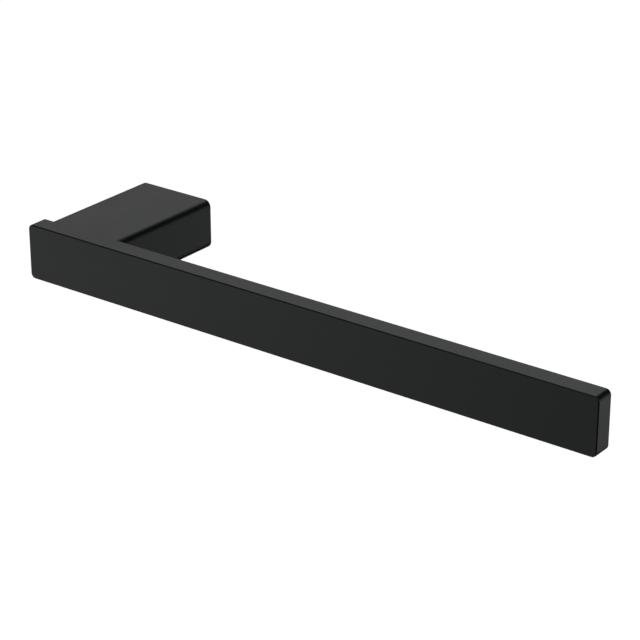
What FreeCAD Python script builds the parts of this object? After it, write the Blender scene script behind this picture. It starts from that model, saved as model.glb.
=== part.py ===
import FreeCAD, Part
import math
import os

import Sketcher

# A hand towel holder for a wall: a flat bar cast in one piece with the hollow post that carries it.
# The post slides over a small bracket that is screwed to the wall, hangs on the bracket's top, and
# is drawn to the wall and locked by two grub screws in its underside.
#
# Frame: +X along the bar, -Y into the room, +Z up. The origin lies on the wall, midway between the
# bracket's two screw holes. Sizes are in millimetres, angles in degrees.

SIZES = (
    ("bar_length", 250, "the bar, end to end"),
    ("bar_height", 22, "the bar's upright face"),
    ("bar_thickness", 8, "the bar, front to back"),
    ("bar_overhang", 4, "how far the bar's left end stands past the post"),
    ("bar_corner_radius", 2, "the four corners of the bar's face"),
    ("edge_break", 0.5, "rounding round the bar's front and back faces"),
    ("post_width", 35.5, "the post, along the wall"),
    ("post_height", 20, "the post, its top level with the bar's"),
    ("post_reach", 52.5, "wall to the back of the bar"),
    ("post_top_radius", 2.75, "the post's two upper long edges"),
    ("post_bottom_radius", 3, "the post's two lower long edges"),
    ("post_wall", 3, "the post's wall round its mouth"),
    ("rim_break", 0.1, "bevel round the rim that meets the wall"),
    ("mouth_depth", 12.5, "straight mouth that takes the bracket"),
    ("mouth_radius", 1.5, "the mouth's corners"),
    ("core_step", 0.8, "shoulder between the mouth and the core"),
    ("core_draft", 1.5, "taper of each side of the core"),
    ("core_radius", 1.2, "rounding at the core's blind end"),
    ("core_web", 3, "metal between the core and the bar's back"),
    ("bracket_depth", 11, "the bracket, out from the wall"),
    ("bracket_corner_radius", 1.6, "the bracket's four long edges"),
    ("bracket_lead_in", 0.6, "bevel round the bracket's front"),
    ("side_clearance", 0.2, "bracket to mouth, each side"),
    ("drop_clearance", 0.4, "bracket to mouth, below"),
    ("recess_edge", 1.55, "metal between a screw's recess and the bracket's side"),
    ("screw_hole", 5, "hole for a wall screw"),
    ("head_recess", 9, "recess for a wall screw's head"),
    ("head_recess_depth", 2.8, "depth of that recess"),
    ("boss_wall", 2, "metal round a wall screw's hole"),
    ("skin_over_groove", 2, "metal between the groove and the hollow behind it"),
    ("hollow_roof", 3, "metal above the bracket's hollow"),
    ("hollow_front", 3, "metal left at the front of the bracket's hollow"),
    ("hollow_radius", 0.8, "the hollow's corners"),
    ("groove_angle", 45, "slope of the groove's two flanks"),
    ("groove_relief", 0.2, "room over a grub screw's tip"),
    ("groove_bias", 0.4, "how far the wall flank stands back from the tip"),
    ("grub_diameter", 5, "grub screw, over its thread"),
    ("grub_length", 5, "grub screw, end to end"),
    ("grub_inset", 6.5, "grub screw's axis from the wall"),
    ("grub_recess", 0.3, "grub screw's end above the post's underside"),
    ("grub_bevel", 0.5, "bevel round the grub screw's socket end"),
    ("tip_flat", 1.5, "flat on the grub screw's tip"),
    ("tip_clearance", 0.05, "tip to the groove's room flank"),
    ("thread_clearance", 0.05, "grub screw to its hole, all round"),
    ("hole_bevel", 0.4, "bevel at the mouth of a grub screw's hole"),
    ("key_across", 2.5, "hexagon socket, across its flats"),
    ("key_depth", 2.4, "depth of the socket"),
)

# Lengths that follow from the sizes
MOUTH_WIDTH = "(sizes.post_width - 2 * sizes.post_wall)"
MOUTH_HALF_HEIGHT = "(sizes.post_height / 2 - sizes.post_wall)"
BAR_LEFT = "(-sizes.post_width / 2 - sizes.bar_overhang)"
BAR_BOTTOM = "(sizes.post_height / 2 - sizes.bar_height)"
CORE_TOP = f"({MOUTH_HALF_HEIGHT} - sizes.core_step)"
CORE_SHRINK = "((sizes.post_reach - sizes.core_web - sizes.mouth_depth) * tan(sizes.core_draft))"
BRACKET_HALF_WIDTH = f"({MOUTH_WIDTH} / 2 - sizes.side_clearance)"
BRACKET_BOTTOM = f"(sizes.drop_clearance - {MOUTH_HALF_HEIGHT})"
SCREW_OUT = f"({BRACKET_HALF_WIDTH} - sizes.recess_edge - sizes.head_recess / 2)"
GRUB_END = "(sizes.grub_recess - sizes.post_height / 2)"
GRUB_TIP = f"({GRUB_END} + sizes.grub_length)"
GROOVE_FLOOR = f"({GRUB_TIP} + sizes.groove_relief)"
GROOVE_FALL = f"(({GROOVE_FLOOR} - {BRACKET_BOTTOM}) / tan(sizes.groove_angle))"
TIP_EDGE = "(sizes.tip_flat / 2 + sizes.tip_clearance / sin(sizes.groove_angle))"
FLANK_LEAN = f"({TIP_EDGE} - sizes.groove_relief / tan(sizes.groove_angle))"

document = FreeCAD.newDocument("hand_towel_holder")


def fill_sheet():
    sheet = document.addObject("Spreadsheet::Sheet", "sizes")
    for row, (alias, number, meaning) in enumerate(SIZES, start=1):
        sheet.set(f"A{row}", alias)
        sheet.set(f"B{row}", str(number))
        sheet.set(f"C{row}", meaning)
        sheet.setAlias(f"B{row}", alias)
    document.recompute()
    return sheet


sizes = fill_sheet()


def value(expression):
    return float(sizes.evalExpression(expression.replace("sizes.", "")))


def new_body(name):
    body = document.addObject("PartDesign::Body", name)
    body.Label = name
    return body


def origin_feature(body, role):
    return next(item for item in body.Origin.OriginFeatures if item.Role == role)


def new_sketch(body, name, plane, offset="0"):
    """A sketch on one of the body's origin planes, moved along that plane's normal."""
    sketch = body.newObject("Sketcher::SketchObject", name)
    sketch.AttachmentSupport = [(origin_feature(body, plane), "")]
    sketch.MapMode = "FlatFace"
    sketch.setExpression(".AttachmentOffset.Base.z", offset)
    document.recompute()
    return sketch


def drive(sketch, constraint, expression):
    """Adds a dimension to the sketch and ties it to the sheet."""
    index = sketch.addConstraint(constraint)
    sketch.setExpression(f"Constraints[{index}]", expression)


def hold_point(sketch, curve, point, across, up):
    """Ties a curve's end or centre to its distances from the sketch's origin."""
    drive(sketch, Sketcher.Constraint("DistanceX", -1, 1, curve, point, value(across)), across)
    drive(sketch, Sketcher.Constraint("DistanceY", -1, 1, curve, point, value(up)), up)


def straight_outline(sketch, corners):
    """A closed outline of straight lines through corners given as pairs of expressions."""
    points = [FreeCAD.Vector(value(across), value(up), 0) for across, up in corners]
    count = len(points)
    for i in range(count):
        sketch.addGeometry(Part.LineSegment(points[i], points[(i + 1) % count]), False)
    for i in range(count):
        sketch.addConstraint(Sketcher.Constraint("Coincident", i, 2, (i + 1) % count, 1))
    for i, (across, up) in enumerate(corners):
        hold_point(sketch, i, 1, across, up)
    document.recompute()


def rounded_outline(sketch, left, right, bottom, top, low_radius, high_radius):
    """A closed rectangle with rounded corners: lines 0 to 3 from the bottom round, then arcs 4 to 7."""
    x0, x1, y0, y1 = value(left), value(right), value(bottom), value(top)
    low, high = value(low_radius), value(high_radius)
    ends = (
        ((x0 + low, y0), (x1 - low, y0)),
        ((x1, y0 + low), (x1, y1 - high)),
        ((x1 - high, y1), (x0 + high, y1)),
        ((x0, y1 - high), (x0, y0 + low)),
    )
    for start, end in ends:
        sketch.addGeometry(Part.LineSegment(FreeCAD.Vector(*start, 0), FreeCAD.Vector(*end, 0)), False)
    corners = (
        (x1 - low, y0 + low, low, -90),
        (x1 - high, y1 - high, high, 0),
        (x0 + high, y1 - high, high, 90),
        (x0 + low, y0 + low, low, 180),
    )
    for x, y, radius, turn in corners:
        circle = Part.Circle(FreeCAD.Vector(x, y, 0), FreeCAD.Vector(0, 0, 1), radius)
        arc = Part.ArcOfCircle(circle, math.radians(turn), math.radians(turn + 90))
        sketch.addGeometry(arc, False)
    for i in range(4):
        sketch.addConstraint(Sketcher.Constraint("Tangent", i, 2, 4 + i, 1))
        sketch.addConstraint(Sketcher.Constraint("Tangent", 4 + i, 2, (i + 1) % 4, 1))
    for line, direction in enumerate(("Horizontal", "Vertical", "Horizontal", "Vertical")):
        sketch.addConstraint(Sketcher.Constraint(direction, line))
    sketch.addConstraint(Sketcher.Constraint("Equal", 4, 7))
    sketch.addConstraint(Sketcher.Constraint("Equal", 5, 6))
    drive(sketch, Sketcher.Constraint("Radius", 4, low), low_radius)
    drive(sketch, Sketcher.Constraint("Radius", 5, high), high_radius)
    drive(sketch, Sketcher.Constraint("DistanceY", -1, 1, 0, 1, y0), bottom)
    drive(sketch, Sketcher.Constraint("DistanceX", -1, 1, 1, 1, x1), right)
    drive(sketch, Sketcher.Constraint("DistanceY", -1, 1, 2, 1, y1), top)
    drive(sketch, Sketcher.Constraint("DistanceX", -1, 1, 3, 1, x0), left)
    document.recompute()


def driven_circle(sketch, radius, across, up):
    """A circle whose radius and centre are tied to the sheet."""
    centre = FreeCAD.Vector(value(across), value(up), 0)
    index = sketch.addGeometry(Part.Circle(centre, FreeCAD.Vector(0, 0, 1), value(radius)), False)
    drive(sketch, Sketcher.Constraint("Radius", index, value(radius)), radius)
    hold_point(sketch, index, 3, across, up)
    document.recompute()


def pad(body, name, sketch, length):
    """Raises the sketch's outline along its normal."""
    feature = body.newObject("PartDesign::Pad", name)
    feature.Profile = sketch
    feature.setExpression("Length", length)
    sketch.Visibility = False
    document.recompute()
    return feature


def must_shrink(body, before, name):
    if body.Shape.Volume >= before:
        raise RuntimeError(f"{name} cuts nothing")


def pocket(body, name, sketch, depth, both_ways=False):
    """Cuts along the sketch's normal, or half the depth to each side of it."""
    before = body.Shape.Volume
    feature = body.newObject("PartDesign::Pocket", name)
    feature.Profile = sketch
    feature.Reversed = not both_ways
    feature.SideType = "Symmetric" if both_ways else "One side"
    feature.setExpression("Length", depth)
    sketch.Visibility = False
    document.recompute()
    must_shrink(body, before, name)
    return feature


def loft_away(body, name, near, far):
    """Cuts a straight-sided taper from one sketch's outline to another's."""
    before = body.Shape.Volume
    feature = body.newObject("PartDesign::SubtractiveLoft", name)
    feature.Profile = near
    feature.Sections = [far]
    feature.Ruled = True
    document.recompute()
    must_shrink(body, before, name)
    return feature


def dress_edges(body, kind, name, base, chosen, amount):
    """Rounds or bevels the edges of the base feature that the test chooses."""
    names = [f"Edge{i}" for i, edge in enumerate(base.Shape.Edges, start=1) if chosen(edge)]
    if not names:
        raise RuntimeError(f"{name} finds no edge")
    feature = body.newObject(f"PartDesign::{kind}", name)
    feature.Base = (base, names)
    feature.setExpression("Radius" if kind == "Fillet" else "Size", amount)
    document.recompute()
    return feature


def lies_at(edge, axis, place):
    """Whether the whole edge lies at one place along an axis, 0 to 2 for X to Z."""
    box = edge.BoundBox
    low = (box.XMin, box.YMin, box.ZMin)[axis]
    high = (box.XMax, box.YMax, box.ZMax)[axis]
    return abs(low - place) < 0.01 and abs(high - place) < 0.01


def runs_along_y(edge):
    box = edge.BoundBox
    return box.YLength > 0.01 and box.XLength < 0.01 and box.ZLength < 0.01


def mirror_across(body, name, feature, plane):
    mirrored = body.newObject("PartDesign::Mirrored", name)
    mirrored.Originals = [feature]
    mirrored.MirrorPlane = (origin_feature(body, plane), [""])
    body.Tip = mirrored
    document.recompute()
    return mirrored


def make_towel_bar():
    """The bar and its hollow post, one casting."""
    body = new_body("towel_bar")
    back = value("-sizes.post_reach")
    front = value("-sizes.post_reach - sizes.bar_thickness")

    face = new_sketch(body, "bar_face", "XZ_Plane", "sizes.post_reach")
    rounded_outline(
        face,
        BAR_LEFT,
        f"{BAR_LEFT} + sizes.bar_length",
        BAR_BOTTOM,
        "sizes.post_height / 2",
        "sizes.bar_corner_radius",
        "sizes.bar_corner_radius",
    )
    bar = pad(body, "bar", face, "sizes.bar_thickness")

    def round_bar_edge(edge):
        return lies_at(edge, 1, back) or lies_at(edge, 1, front)

    dress_edges(body, "Fillet", "bar_edges", bar, round_bar_edge, "sizes.edge_break")

    # The post runs half way into the bar, so that their tops make one unbroken face
    section = new_sketch(body, "post_section", "XZ_Plane")
    rounded_outline(
        section,
        "-sizes.post_width / 2",
        "sizes.post_width / 2",
        "-sizes.post_height / 2",
        "sizes.post_height / 2",
        "sizes.post_bottom_radius",
        "sizes.post_top_radius",
    )
    post = pad(body, "post", section, "sizes.post_reach + sizes.bar_thickness / 2")

    def rim_edge(edge):
        return lies_at(edge, 1, 0)

    dress_edges(body, "Chamfer", "rim", post, rim_edge, "sizes.rim_break")

    opening = new_sketch(body, "mouth_section", "XZ_Plane")
    rounded_outline(
        opening,
        f"-{MOUTH_WIDTH} / 2",
        f"{MOUTH_WIDTH} / 2",
        f"-{MOUTH_HALF_HEIGHT}",
        MOUTH_HALF_HEIGHT,
        "sizes.mouth_radius",
        "sizes.mouth_radius",
    )
    pocket(body, "mouth", opening, "sizes.mouth_depth")

    # The core tapers from the mouth's shoulder to its blind end, as it drew out of the casting
    sections = []
    for name, place, shrink in (
        ("core_shoulder", "sizes.mouth_depth", "0"),
        ("core_end", "sizes.post_reach - sizes.core_web", CORE_SHRINK),
    ):
        sketch = new_sketch(body, name, "XZ_Plane", place)
        rounded_outline(
            sketch,
            f"sizes.core_step + {shrink} - {MOUTH_WIDTH} / 2",
            f"{MOUTH_WIDTH} / 2 - sizes.core_step - {shrink}",
            f"{shrink} - {CORE_TOP}",
            f"{CORE_TOP} - {shrink}",
            "sizes.mouth_radius",
            "sizes.mouth_radius",
        )
        sections.append(sketch)
    core = loft_away(body, "core", *sections)
    blind_end = value("sizes.core_web - sizes.post_reach")

    def core_end_edge(edge):
        return lies_at(edge, 1, blind_end)

    dress_edges(body, "Fillet", "core_end_round", core, core_end_edge, "sizes.core_radius")

    place = new_sketch(body, "grub_hole_place", "XY_Plane", "-sizes.post_height / 2")
    hole_radius = "sizes.grub_diameter / 2 + sizes.thread_clearance"
    driven_circle(place, hole_radius, SCREW_OUT, "-sizes.grub_inset")
    hole = pocket(body, "grub_hole", place, "sizes.post_wall")
    both = mirror_across(body, "grub_holes", hole, "YZ_Plane")
    underside = value("-sizes.post_height / 2")

    def hole_edge(edge):
        return lies_at(edge, 2, underside) and isinstance(edge.Curve, Part.Circle)

    dress_edges(body, "Chamfer", "grub_hole_bevels", both, hole_edge, "sizes.hole_bevel")
    return body


def make_wall_bracket():
    """The bracket: a grooved block with two recessed screw holes, hollow between its bosses."""
    body = new_body("wall_bracket")
    outline = new_sketch(body, "block_outline", "XZ_Plane")
    rounded_outline(
        outline,
        f"-{BRACKET_HALF_WIDTH}",
        BRACKET_HALF_WIDTH,
        BRACKET_BOTTOM,
        MOUTH_HALF_HEIGHT,
        "sizes.bracket_corner_radius",
        "sizes.bracket_corner_radius",
    )
    block = pad(body, "block", outline, "sizes.bracket_depth")
    front = value("-sizes.bracket_depth")

    def front_edge(edge):
        return lies_at(edge, 1, front)

    dress_edges(body, "Chamfer", "lead_in", block, front_edge, "sizes.bracket_lead_in")

    # The groove in side view. The grub screws bear on its room flank, which leans over them and so
    # draws the post to the wall; the wall flank stands back from them.
    side = new_sketch(body, "groove_section", "YZ_Plane")
    straight_outline(
        side,
        (
            (f"-sizes.grub_inset - {FLANK_LEAN} - {GROOVE_FALL}", BRACKET_BOTTOM),
            (f"-sizes.grub_inset - {FLANK_LEAN}", GROOVE_FLOOR),
            (f"{FLANK_LEAN} + sizes.groove_bias - sizes.grub_inset", GROOVE_FLOOR),
            (f"{FLANK_LEAN} + sizes.groove_bias + {GROOVE_FALL} - sizes.grub_inset", BRACKET_BOTTOM),
        ),
    )
    pocket(body, "groove", side, f"2 * {BRACKET_HALF_WIDTH}", both_ways=True)

    place = new_sketch(body, "screw_place", "XZ_Plane", "sizes.bracket_depth")
    driven_circle(place, "sizes.screw_hole / 2", SCREW_OUT, "0")
    before = body.Shape.Volume
    hole = body.newObject("PartDesign::Hole", "screw_hole")
    hole.Profile = place
    hole.DepthType = "ThroughAll"
    hole.setExpression("Diameter", "sizes.screw_hole")
    hole.HoleCutType = "Counterbore"
    hole.HoleCutCustomValues = True
    hole.setExpression("HoleCutDiameter", "sizes.head_recess")
    hole.setExpression("HoleCutDepth", "sizes.head_recess_depth")
    place.Visibility = False
    document.recompute()
    must_shrink(body, before, "screw_hole")
    mirror_across(body, "screw_holes", hole, "YZ_Plane")

    hollow_out_bracket(body)
    return body


def hollow_outline(body, low, high, boss):
    """Two level lines joined by arcs about the screw holes, so that each hole keeps a round boss."""
    low_turn = math.asin(value(low) / value(boss))
    high_turn = math.asin(value(high) / value(boss))
    centre = value(SCREW_OUT)
    axis = FreeCAD.Vector(0, 0, 1)
    right = Part.Circle(FreeCAD.Vector(centre, 0, 0), axis, value(boss))
    left = Part.Circle(FreeCAD.Vector(-centre, 0, 0), axis, value(boss))
    arcs = (
        Part.ArcOfCircle(right, math.pi - high_turn, math.pi - low_turn),
        Part.ArcOfCircle(left, low_turn, high_turn),
    )
    floor = Part.LineSegment(arcs[0].EndPoint, arcs[1].StartPoint)
    ceiling = Part.LineSegment(arcs[1].EndPoint, arcs[0].StartPoint)

    sketch = new_sketch(body, "hollow_outline", "XZ_Plane")
    right_side, floor_line, left_side, ceiling_line = (
        sketch.addGeometry(curve, False) for curve in (arcs[0], floor, arcs[1], ceiling)
    )
    ring = (right_side, floor_line, left_side, ceiling_line)
    for i in range(4):
        sketch.addConstraint(Sketcher.Constraint("Coincident", ring[i], 2, ring[(i + 1) % 4], 1))
    for line in (floor_line, ceiling_line):
        sketch.addConstraint(Sketcher.Constraint("Horizontal", line))
    for side, out in ((right_side, SCREW_OUT), (left_side, f"-{SCREW_OUT}")):
        sketch.addConstraint(Sketcher.Constraint("PointOnObject", side, 3, -1))
        drive(sketch, Sketcher.Constraint("DistanceX", -1, 1, side, 3, value(out)), out)
    sketch.addConstraint(Sketcher.Constraint("Equal", right_side, left_side))
    drive(sketch, Sketcher.Constraint("Radius", right_side, value(boss)), boss)
    drive(sketch, Sketcher.Constraint("DistanceY", -1, 1, floor_line, 1, value(low)), low)
    drive(sketch, Sketcher.Constraint("DistanceY", -1, 1, ceiling_line, 1, value(high)), high)
    document.recompute()
    return sketch


def hollow_out_bracket(body):
    """Cores the bracket from the wall side, as a casting is cored to keep its walls even."""
    low = f"({GROOVE_FLOOR} + sizes.skin_over_groove)"
    high = f"({MOUTH_HALF_HEIGHT} - sizes.hollow_roof)"
    boss = "(sizes.screw_hole / 2 + sizes.boss_wall)"
    outline = hollow_outline(body, low, high, boss)
    hollow = pocket(body, "hollow", outline, "sizes.bracket_depth - sizes.hollow_front")
    levels = (value(low), value(high))

    def hollow_corner(edge):
        inside = abs(edge.BoundBox.XMin) < value(SCREW_OUT)
        return runs_along_y(edge) and inside and any(lies_at(edge, 2, level) for level in levels)

    dress_edges(body, "Fillet", "hollow_corners", hollow, hollow_corner, "sizes.hollow_radius")


def make_grub_screw(name, side):
    """A grub screw, socket end down, on its own axis; side is 1 to the right and -1 to the left."""
    body = new_body(name)
    radius = "sizes.grub_diameter / 2"
    half = new_sketch(body, f"{name}_half_section", "XZ_Plane")
    straight_outline(
        half,
        (
            ("0", "0"),
            (f"{radius} - sizes.grub_bevel", "0"),
            (radius, "sizes.grub_bevel"),
            (radius, f"sizes.grub_length - ({radius} - sizes.tip_flat / 2) * tan(sizes.groove_angle)"),
            ("sizes.tip_flat / 2", "sizes.grub_length"),
            ("0", "sizes.grub_length"),
        ),
    )
    turned = body.newObject("PartDesign::Revolution", f"{name}_shank")
    turned.Profile = half
    turned.ReferenceAxis = (half, ["V_Axis"])
    turned.Angle = 360
    half.Visibility = False
    document.recompute()

    # The socket is a regular hexagon whose corners lie on a circle
    key = new_sketch(body, f"{name}_key", "XY_Plane")
    reach = value("sizes.key_across / 2 / cos(30)")
    turns = [math.radians(60 * i) for i in range(6)]
    points = [FreeCAD.Vector(reach * math.cos(turn), reach * math.sin(turn), 0) for turn in turns]
    for i in range(6):
        key.addGeometry(Part.LineSegment(points[i], points[(i + 1) % 6]), False)
    circle = Part.Circle(FreeCAD.Vector(0, 0, 0), FreeCAD.Vector(0, 0, 1), reach)
    guide = key.addGeometry(circle, True)
    key.addConstraint(Sketcher.Constraint("Coincident", guide, 3, -1, 1))
    for i in range(6):
        key.addConstraint(Sketcher.Constraint("Coincident", i, 2, (i + 1) % 6, 1))
        key.addConstraint(Sketcher.Constraint("PointOnObject", i, 1, guide))
    for i in range(1, 6):
        key.addConstraint(Sketcher.Constraint("Equal", 0, i))
    key.addConstraint(Sketcher.Constraint("PointOnObject", 0, 1, -1))
    drive(key, Sketcher.Constraint("Radius", guide, reach), "sizes.key_across / 2 / cos(30)")
    document.recompute()
    pocket(body, f"{name}_socket", key, "sizes.key_depth")

    body.setExpression(".Placement.Base.x", f"{side} * {SCREW_OUT}")
    body.setExpression(".Placement.Base.y", "-sizes.grub_inset")
    body.setExpression(".Placement.Base.z", GRUB_END)
    document.recompute()
    return body


def check_document():
    for item in document.Objects:
        if "Invalid" in item.State or "Error" in item.State:
            raise RuntimeError(f"{item.Name} is {item.State}")


def write_solids(bodies):
    os.makedirs("parts", exist_ok=True)
    for body in bodies:
        shape = body.Shape
        if shape.isNull() or not shape.isValid() or len(shape.Solids) != 1:
            raise RuntimeError(f"{body.Label} is not one sound solid")
        shape.exportStep(f"parts/{body.Label}.step")
        print(body.Label, "volume", round(shape.Volume, 1), "faces", len(shape.Faces))


bodies = [
    make_towel_bar(),
    make_wall_bracket(),
    make_grub_screw("grub_screw_left", -1),
    make_grub_screw("grub_screw_right", 1),
]
check_document()
write_solids(bodies)
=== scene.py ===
from math import cos, pi, radians, sin, tan

import bmesh
import bpy
from mathutils import Euler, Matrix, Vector


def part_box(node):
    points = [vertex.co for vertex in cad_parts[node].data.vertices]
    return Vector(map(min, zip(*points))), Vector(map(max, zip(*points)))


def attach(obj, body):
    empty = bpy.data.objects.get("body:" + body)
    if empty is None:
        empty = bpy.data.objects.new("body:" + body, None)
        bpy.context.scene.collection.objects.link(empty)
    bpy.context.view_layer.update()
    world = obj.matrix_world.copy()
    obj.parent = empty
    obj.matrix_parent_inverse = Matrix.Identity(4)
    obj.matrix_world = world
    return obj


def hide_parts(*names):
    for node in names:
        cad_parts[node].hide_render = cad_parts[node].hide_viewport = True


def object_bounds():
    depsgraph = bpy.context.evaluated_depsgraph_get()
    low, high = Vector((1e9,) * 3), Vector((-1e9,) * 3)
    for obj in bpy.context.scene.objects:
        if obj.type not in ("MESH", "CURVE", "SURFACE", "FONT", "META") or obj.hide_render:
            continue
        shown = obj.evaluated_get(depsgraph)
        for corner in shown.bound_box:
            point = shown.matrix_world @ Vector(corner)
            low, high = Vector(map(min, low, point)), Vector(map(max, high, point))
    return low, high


# A satin black hand towel holder in a plain white room. Its cast bar and post and its zinc wall
# bracket are the CAD's own shapes, and its two grub screws get their threads here.

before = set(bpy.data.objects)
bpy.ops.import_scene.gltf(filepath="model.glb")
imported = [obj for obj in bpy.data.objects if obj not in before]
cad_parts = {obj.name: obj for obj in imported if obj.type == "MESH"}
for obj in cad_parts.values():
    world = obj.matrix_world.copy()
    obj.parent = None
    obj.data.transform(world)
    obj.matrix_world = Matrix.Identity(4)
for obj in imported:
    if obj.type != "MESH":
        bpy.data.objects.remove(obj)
cad_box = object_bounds()
middle = (cad_box[0] + cad_box[1]) / 2

MM = 0.001

# The camera, placed so that every outline falls where the photograph has it
CAMERA_AIM = Vector((116.69, -60.5, 7.30)) * MM
CAMERA_DISTANCE = 795.82 * MM
CAMERA_AZIMUTH = radians(37.066)
CAMERA_ELEVATION = radians(24.022)
CAMERA_ROLL = radians(0.052)
CAMERA_LENS = 129.43
SENSOR_WIDTH = 36.0

# The room: a wide floor far below, and screens, a bright box and a card by the bar's end that paint
# reflections on the sheen
FLOOR_DROP = 1.2
FLOOR_RADIUS = 14.0
FLOOR_SIDES = 96
FLOOR_COLOUR = 0.8
FLOOR_GLOW = 0.22
SCREEN_DISTANCE = 1.4
CARD_DISTANCE = 35 * MM
BAR_END = Vector((228, -60, -1)) * MM
DARK_REFLECTION_PAINT = (0.08, 0.08, 0.08)
GREY_REFLECTION_PAINT = (0.80, 0.82, 0.81)
BRIGHT_REFLECTION_PAINT = (1.74, 1.94, 1.84)
SCREEN_STEPS = 12
LAMP_DISTANCE = 1.3
WHITE = (1, 1, 1, 1)

# The grub screws, M5 with a hexagon socket
THREAD_PITCH = 0.8 * MM
THREAD_DEPTH = 0.45 * MM
CREST_FLAT = 1 / 8
ROOT_FLAT = 1 / 4
SCREW_COLUMNS = 36
SCREW_BEVEL = 0.5 * MM
TIP_FLAT = 1.5 * MM
KEY_ACROSS = 2.5 * MM
KEY_DEPTH = 2.4 * MM
SOCKET_MOUTH = 1.55 * MM
DRILL_SLOPE = radians(30)
DRILL_POINT = KEY_ACROSS / 2 * tan(DRILL_SLOPE)
SHARP_TURN = radians(35)
RUBBED_FROM = 0.96

# The middle range of a noise, which is stretched to the whole
NOISE_LOW = 0.3
NOISE_HIGH = 0.7

# The coat of the bar and post
COAT_CLOUD = 20 * MM
COAT_DARK = (0.0008, 0.0010, 0.0010)
COAT_PALE = (0.0014, 0.0017, 0.0016)
COAT_ROUGHNESS = (0.285, 0.322)
COAT_PEEL = 1.2 * MM
COAT_PEEL_DEPTH = 0.020 * MM
COAT_GRAIN = 0.15 * MM
COAT_GRAIN_DEPTH = 0.004 * MM
COAT_IOR = 1.5
COAT_SHEEN = 0.155
COAT_TINT = (0.95, 1.0, 0.98, 1)

# The zinc of the wall bracket
ZINC_CLOUD = 3 * MM
ZINC_DETAIL = 4.0
ZINC_DARK = (0.44, 0.45, 0.46)
ZINC_PALE = (0.57, 0.58, 0.59)
ZINC_PATCH = 1.5 * MM
ZINC_ROUGHNESS = (0.38, 0.55)
ZINC_MARK_DEPTH = 0.04 * MM
ZINC_GRAIN = 0.25 * MM
ZINC_GRAIN_DEPTH = 0.018 * MM

# The steel of the grub screws
STEEL_CLOUD = 0.5 * MM
STEEL_DARK = (0.022, 0.022, 0.024)
STEEL_PALE = (0.040, 0.040, 0.043)
STEEL_RUBBED = (0.30, 0.29, 0.28)
STEEL_WEAR = (0.2, 0.7)
STEEL_ROUGHNESS = (0.3, 0.45)
STEEL_GRAIN = 0.08 * MM
STEEL_GRAIN_DEPTH = 0.002 * MM


def add_object(name, data):
    """A new object at the origin, holding the data."""
    piece = bpy.data.objects.new(name, data)
    bpy.context.scene.collection.objects.link(piece)
    return piece


def finished_mesh(name, shape):
    """The mesh of a bmesh, which is freed."""
    mesh = bpy.data.meshes.new(name)
    shape.to_mesh(mesh)
    shape.free()
    return mesh


def new_material(name):
    """An empty node material, its tree and its output node."""
    material = bpy.data.materials.new(name)
    material.use_nodes = True
    material.node_tree.nodes.clear()
    output = material.node_tree.nodes.new("ShaderNodeOutputMaterial")
    return material, material.node_tree, output


def calculate(tree, operation, *values):
    """A Math node's output; each value is a number or another node's output."""
    node = tree.nodes.new("ShaderNodeMath")
    node.operation = operation
    for socket, value in zip(node.inputs, values):
        if isinstance(value, bpy.types.NodeSocket):
            tree.links.new(value, socket)
        else:
            socket.default_value = value
    return node.outputs["Value"]


def noise(tree, grain, detail=2.0):
    """Noise in the piece's own coordinates, its grains this many metres across."""
    place = tree.nodes.new("ShaderNodeTexCoord")
    pattern = tree.nodes.new("ShaderNodeTexNoise")
    pattern.inputs["Scale"].default_value = 1 / grain
    pattern.inputs["Detail"].default_value = detail
    tree.links.new(place.outputs["Object"], pattern.inputs["Vector"])
    return pattern.outputs["Fac"]


def spread(tree, pattern, low, high):
    """The middle range of a noise stretched from low to high."""
    node = tree.nodes.new("ShaderNodeMapRange")
    node.inputs["From Min"].default_value = NOISE_LOW
    node.inputs["From Max"].default_value = NOISE_HIGH
    node.inputs["To Min"].default_value = low
    node.inputs["To Max"].default_value = high
    tree.links.new(pattern, node.inputs["Value"])
    return node.outputs["Result"]


def mix(tree, share, first, second):
    """The first colour turning into the second as the share goes from 0 to 1."""
    node = tree.nodes.new("ShaderNodeMix")
    node.data_type = "RGBA"
    tree.links.new(share, node.inputs["Factor"])
    for socket, colour in ((node.inputs["A"], first), (node.inputs["B"], second)):
        if isinstance(colour, bpy.types.NodeSocket):
            tree.links.new(colour, socket)
        else:
            socket.default_value = (*colour, 1)
    return node.outputs["Result"]


def bump(tree, pattern, depth, under=None):
    """The surface raised by a pattern of this depth in metres, over another bump if there is one."""
    node = tree.nodes.new("ShaderNodeBump")
    node.inputs["Distance"].default_value = depth
    tree.links.new(pattern, node.inputs["Height"])
    if under is not None:
        tree.links.new(under, node.inputs["Normal"])
    return node.outputs["Normal"]


def add_surface(tree, output, colour, roughness, normal):
    """The material's shader, with its colour, roughness and bump joined up."""
    skin = tree.nodes.new("ShaderNodeBsdfPrincipled")
    tree.links.new(colour, skin.inputs["Base Color"])
    tree.links.new(roughness, skin.inputs["Roughness"])
    tree.links.new(normal, skin.inputs["Normal"])
    tree.links.new(skin.outputs["BSDF"], output.inputs["Surface"])
    return skin


def powder_coat():
    """Satin black powder coat: an even black with a faint orange peel and a fine grain."""
    material, tree, output = new_material("satin_black_coat")
    cloud = noise(tree, COAT_CLOUD)
    colour = mix(tree, spread(tree, cloud, 0, 1), COAT_DARK, COAT_PALE)
    peel = bump(tree, noise(tree, COAT_PEEL), COAT_PEEL_DEPTH)
    grain = bump(tree, noise(tree, COAT_GRAIN), COAT_GRAIN_DEPTH, peel)
    skin = add_surface(tree, output, colour, spread(tree, cloud, *COAT_ROUGHNESS), grain)
    skin.inputs["IOR"].default_value = COAT_IOR
    skin.inputs["Specular IOR Level"].default_value = COAT_SHEEN
    skin.inputs["Specular Tint"].default_value = COAT_TINT
    return material


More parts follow.
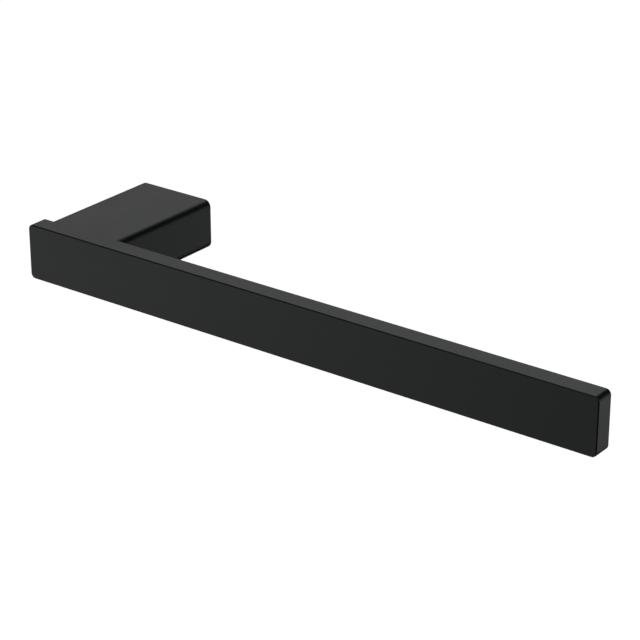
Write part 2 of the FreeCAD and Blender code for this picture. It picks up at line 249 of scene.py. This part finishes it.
def cast_zinc():
    """Bare zinc as it came from the mould: dull, a little cloudy and finely grained."""
    material, tree, output = new_material("as_cast_zinc")
    cloud = noise(tree, ZINC_CLOUD, ZINC_DETAIL)
    colour = mix(tree, spread(tree, cloud, 0, 1), ZINC_DARK, ZINC_PALE)
    skin_marks = bump(tree, cloud, ZINC_MARK_DEPTH)
    grain = bump(tree, noise(tree, ZINC_GRAIN), ZINC_GRAIN_DEPTH, skin_marks)
    roughness = spread(tree, noise(tree, ZINC_PATCH), *ZINC_ROUGHNESS)
    metal = add_surface(tree, output, colour, roughness, grain)
    metal.inputs["Metallic"].default_value = 1.0
    return material


def black_steel():
    """Blackened steel, rubbed paler where the thread's crests have turned in the post."""
    material, tree, output = new_material("blackened_steel")
    rubbed = tree.nodes.new("ShaderNodeAttribute")
    rubbed.attribute_name = "crest"
    cloud = noise(tree, STEEL_CLOUD)
    black = mix(tree, spread(tree, cloud, 0, 1), STEEL_DARK, STEEL_PALE)
    worn = calculate(tree, "MULTIPLY", rubbed.outputs["Fac"], spread(tree, cloud, *STEEL_WEAR))
    colour = mix(tree, worn, black, STEEL_RUBBED)
    grain = bump(tree, noise(tree, STEEL_GRAIN), STEEL_GRAIN_DEPTH)
    metal = add_surface(tree, output, colour, spread(tree, cloud, *STEEL_ROUGHNESS), grain)
    metal.inputs["Metallic"].default_value = 1.0
    return material


def socket_reach(turn):
    """How far the hexagon socket's wall is from the screw's axis, at a turn in radians."""
    return KEY_ACROSS / 2 / cos(turn % (pi / 3) - pi / 6)


def screw_blank(radius, length):
    """An unthreaded grub screw on the Z axis, closed all round, with its socket at the bottom."""
    turns = [2 * pi * i / SCREW_COLUMNS for i in range(SCREW_COLUMNS)]
    rows = round(length / THREAD_PITCH * SCREW_COLUMNS)
    rings = []
    for row in range(rows, -1, -1):
        height = length * row / rows
        reach = min(radius, radius - SCREW_BEVEL + height, TIP_FLAT / 2 + length - height)
        rings.append([(reach, height)] * SCREW_COLUMNS)
    rings.append([(SOCKET_MOUTH, 0.0)] * SCREW_COLUMNS)
    rings.append([(socket_reach(turn), SOCKET_MOUTH - socket_reach(turn)) for turn in turns])
    rings.append([(socket_reach(turn), KEY_DEPTH) for turn in turns])

    blank = bmesh.new()
    circles = []
    for ring in rings:
        circle = []
        for turn, (reach, height) in zip(turns, ring):
            circle.append(blank.verts.new((reach * cos(turn), reach * sin(turn), height)))
        circles.append(circle)
    for near, far in zip(circles, circles[1:]):
        for i in range(SCREW_COLUMNS):
            following = (i + 1) % SCREW_COLUMNS
            blank.faces.new((near[i], near[following], far[following], far[i]))
    for circle, height in ((circles[0], length), (circles[-1], KEY_DEPTH + DRILL_POINT)):
        centre = blank.verts.new((0, 0, height))
        for i in range(SCREW_COLUMNS):
            blank.faces.new((circle[i], circle[(i + 1) % SCREW_COLUMNS], centre))
    bmesh.ops.recalc_face_normals(blank, faces=blank.faces)
    return finished_mesh("screw_blank", blank)


def thread_tree():
    """Cuts a right-hand thread into a blank on the Z axis, then moves the screw to its place."""
    tree = bpy.data.node_groups.new("screw_thread", "GeometryNodeTree")
    tree.interface.new_socket("Blank", in_out="INPUT", socket_type="NodeSocketGeometry")
    for name in ("Radius", "Pitch", "Depth"):
        tree.interface.new_socket(name, in_out="INPUT", socket_type="NodeSocketFloat")
    tree.interface.new_socket("Place", in_out="INPUT", socket_type="NodeSocketVector")
    tree.interface.new_socket("Finish", in_out="INPUT", socket_type="NodeSocketMaterial")
    tree.interface.new_socket("Screw", in_out="OUTPUT", socket_type="NodeSocketGeometry")
    given = tree.nodes.new("NodeGroupInput").outputs

    position = tree.nodes.new("GeometryNodeInputPosition")
    point = tree.nodes.new("ShaderNodeSeparateXYZ")
    tree.links.new(position.outputs["Position"], point.inputs["Vector"])
    x, y, z = point.outputs
    squares = calculate(tree, "MULTIPLY_ADD", x, x, calculate(tree, "MULTIPLY", y, y))
    reach = calculate(tree, "SQRT", squares)

    # The thread climbs one pitch in one turn; off_crest runs from 0 on a crest to a half in a root
    turned = calculate(tree, "DIVIDE", calculate(tree, "ARCTAN2", y, x), 2 * pi)
    climbed = calculate(tree, "DIVIDE", z, given["Pitch"])
    off_crest = calculate(tree, "PINGPONG", calculate(tree, "SUBTRACT", climbed, turned), 0.5)
    groove = tree.nodes.new("ShaderNodeMapRange")
    groove.inputs["From Min"].default_value = CREST_FLAT / 2
    groove.inputs["From Max"].default_value = (1 - ROOT_FLAT) / 2
    tree.links.new(off_crest, groove.inputs["Value"])
    cut = calculate(tree, "MULTIPLY", groove.outputs["Result"], given["Depth"])
    limit = calculate(tree, "SUBTRACT", given["Radius"], cut)
    shrink = calculate(tree, "MINIMUM", calculate(tree, "DIVIDE", limit, reach), 1.0)

    moved = tree.nodes.new("ShaderNodeCombineXYZ")
    tree.links.new(calculate(tree, "MULTIPLY", x, shrink), moved.inputs["X"])
    tree.links.new(calculate(tree, "MULTIPLY", y, shrink), moved.inputs["Y"])
    tree.links.new(z, moved.inputs["Z"])
    threaded = tree.nodes.new("GeometryNodeSetPosition")
    tree.links.new(given["Blank"], threaded.inputs["Geometry"])
    tree.links.new(moved.outputs["Vector"], threaded.inputs["Position"])

    # The crests are marked for the steel's rubbed look
    marked = tree.nodes.new("GeometryNodeStoreNamedAttribute")
    marked.inputs["Name"].default_value = "crest"
    rubbed_reach = calculate(tree, "MULTIPLY", given["Radius"], RUBBED_FROM)
    outermost = calculate(tree, "GREATER_THAN", reach, rubbed_reach)
    tree.links.new(threaded.outputs["Geometry"], marked.inputs["Geometry"])
    tree.links.new(outermost, marked.inputs["Value"])

    placed = tree.nodes.new("GeometryNodeTransform")
    tree.links.new(marked.outputs["Geometry"], placed.inputs["Geometry"])
    tree.links.new(given["Place"], placed.inputs["Translation"])
    real = tree.nodes.new("GeometryNodeRealizeInstances")
    tree.links.new(placed.outputs["Geometry"], real.inputs["Geometry"])
    finished = tree.nodes.new("GeometryNodeSetMaterial")
    tree.links.new(real.outputs["Geometry"], finished.inputs["Geometry"])
    tree.links.new(given["Finish"], finished.inputs["Material"])
    result = tree.nodes.new("NodeGroupOutput")
    tree.links.new(finished.outputs["Geometry"], result.inputs["Screw"])
    return tree


def add_grub_screw(node, tree, steel):
    """A threaded grub screw in the place of its plain CAD node."""
    low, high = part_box(node)
    radius = (high.x - low.x) / 2
    piece = add_object(f"{node}_threaded", screw_blank(radius, high.z - low.z))
    sizes = {
        "Radius": radius,
        "Pitch": THREAD_PITCH,
        "Depth": THREAD_DEPTH,
        "Place": ((low.x + high.x) / 2, (low.y + high.y) / 2, low.z),
        "Finish": steel,
    }
    cutter = piece.modifiers.new("thread", "NODES")
    cutter.node_group = tree
    for socket in tree.interface.items_tree:
        if socket.name in sizes:
            cutter[socket.identifier] = sizes[socket.name]
    graph = bpy.context.evaluated_depsgraph_get()
    mesh = bpy.data.meshes.new_from_object(piece.evaluated_get(graph))
    piece.modifiers.remove(cutter)
    piece.data = mesh
    mesh.shade_smooth()
    mesh.set_sharp_from_angle(angle=SHARP_TURN)
    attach(piece, "root")
    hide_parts(node)


def direction(azimuth, elevation):
    """A unit vector: azimuth turns from the wall towards the left, elevation is up, in degrees."""
    turn = radians(azimuth)
    lift = radians(elevation)
    return Vector((-sin(turn) * cos(lift), cos(turn) * cos(lift), sin(lift)))


def add_camera():
    """The camera looks down on the bar's front from its right."""
    lens = bpy.data.cameras.new("camera")
    lens.lens = CAMERA_LENS
    lens.sensor_width = SENSOR_WIDTH
    camera = add_object("camera", lens)
    turn = Euler((pi / 2 - CAMERA_ELEVATION, CAMERA_ROLL, CAMERA_AZIMUTH))
    camera.rotation_euler = turn
    camera.location = CAMERA_AIM + turn.to_matrix() @ Vector((0, 0, CAMERA_DISTANCE))
    bpy.context.scene.camera = camera


def add_world():
    """An even white all round."""
    world = bpy.data.worlds.new("white_room")
    world.use_nodes = True
    world.node_tree.nodes["Background"].inputs["Color"].default_value = WHITE
    bpy.context.scene.world = world


def pale_floor():
    """Matt paint that shows as white, and still takes a shadow."""
    material, tree, output = new_material("pale_floor")
    paint = tree.nodes.new("ShaderNodeBsdfDiffuse")
    paint.inputs["Color"].default_value = (FLOOR_COLOUR, FLOOR_COLOUR, FLOOR_COLOUR, 1)
    ray = tree.nodes.new("ShaderNodeLightPath").outputs
    seen = calculate(tree, "MAXIMUM", ray["Is Camera Ray"], ray["Is Glossy Ray"])
    seen = calculate(tree, "MAXIMUM", seen, ray["Is Transmission Ray"])
    glow = tree.nodes.new("ShaderNodeEmission")
    tree.links.new(calculate(tree, "MULTIPLY", seen, FLOOR_GLOW), glow.inputs["Strength"])
    both = tree.nodes.new("ShaderNodeAddShader")
    tree.links.new(paint.outputs["BSDF"], both.inputs[0])
    tree.links.new(glow.outputs["Emission"], both.inputs[1])
    tree.links.new(both.outputs["Shader"], output.inputs["Surface"])
    return material


def add_floor():
    """A round floor, far below."""
    sheet = bmesh.new()
    bmesh.ops.create_circle(sheet, cap_ends=True, segments=FLOOR_SIDES, radius=FLOOR_RADIUS)
    bmesh.ops.translate(sheet, verts=sheet.verts, vec=middle - Vector((0, 0, FLOOR_DROP)))
    floor = add_object("floor", finished_mesh("floor", sheet))
    floor.data.materials.append(pale_floor())


def reflection_paint(name, colour):
    """An even glow with no shading of its own, which paints a dark or bright reflection on the
    holder's sheen.
    """
    material, tree, output = new_material(name)
    cloth = tree.nodes.new("ShaderNodeEmission")
    cloth.inputs["Color"].default_value = (*colour, 1)
    tree.links.new(cloth.outputs["Emission"], output.inputs["Surface"])
    return material


def add_screen(name, colour, around, up, centre=middle, distance=SCREEN_DISTANCE):
    """A curved screen between two azimuths and two elevations, seen only in the sheen, where it
    paints a reflection.
    """
    sheet = bmesh.new()
    columns = []
    for i in range(SCREEN_STEPS + 1):
        azimuth = around[0] + (around[1] - around[0]) * i / SCREEN_STEPS
        heights = [up[0] + (up[1] - up[0]) * j / SCREEN_STEPS for j in range(SCREEN_STEPS + 1)]
        points = [centre + distance * direction(azimuth, height) for height in heights]
        columns.append([sheet.verts.new(point) for point in points])
    for near, far in zip(columns, columns[1:]):
        for j in range(SCREEN_STEPS):
            sheet.faces.new((near[j], near[j + 1], far[j + 1], far[j]))
    screen = add_object(name, finished_mesh(name, sheet))
    screen.data.materials.append(reflection_paint(name, colour))
    screen.visible_camera = False
    screen.visible_diffuse = False
    screen.visible_transmission = False
    screen.visible_shadow = False


def add_lamp(name, azimuth, elevation, width, height, radiance):
    """A soft lamp facing the holder."""
    panel = bpy.data.lights.new(name, "AREA")
    panel.shape = "RECTANGLE"
    panel.size = width
    panel.size_y = height
    panel.energy = radiance * pi * width * height
    lamp = add_object(name, panel)
    lamp.location = middle + LAMP_DISTANCE * direction(azimuth, elevation)
    lamp.rotation_euler = (middle - lamp.location).to_track_quat("-Z", "Y").to_euler()
    lamp.visible_camera = False


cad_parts["towel_bar"].data.materials[0] = powder_coat()
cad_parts["wall_bracket"].data.materials[0] = cast_zinc()
thread = thread_tree()
steel = black_steel()
for screw in ("grub_screw_left", "grub_screw_right"):
    add_grub_screw(screw, thread, steel)

bpy.context.scene.view_settings.view_transform = "Standard"
add_camera()
add_world()
add_floor()
# These black and grey glowing screens are seen only in the sheen, where they paint dark reflections
# on the holder
add_screen("black_right", DARK_REFLECTION_PAINT, around=(-62, 1), up=(6, 64))
add_screen("black_front", DARK_REFLECTION_PAINT, around=(262, 302), up=(-48, -4))
add_screen("black_card", DARK_REFLECTION_PAINT, around=(182, 274), up=(-62, 22), centre=BAR_END,
           distance=CARD_DISTANCE)
add_screen("black_above", DARK_REFLECTION_PAINT, around=(60, 146), up=(22, 70))
add_screen("black_left", DARK_REFLECTION_PAINT, around=(22, 70), up=(-8, 16))
add_screen("black_below", DARK_REFLECTION_PAINT, around=(-34, 125), up=(-60, -28))
add_screen("grey_right", GREY_REFLECTION_PAINT, around=(-60, -34), up=(-45, 2))
# The bright box is a glow, not a lamp, seen only in the sheen, where it paints a highlight on the
# holder
add_screen("painted_highlight_box", BRIGHT_REFLECTION_PAINT, around=(13, 45), up=(33, 42))
add_lamp("lamp_left", azimuth=137, elevation=-18, width=0.7, height=0.4, radiance=0.67)
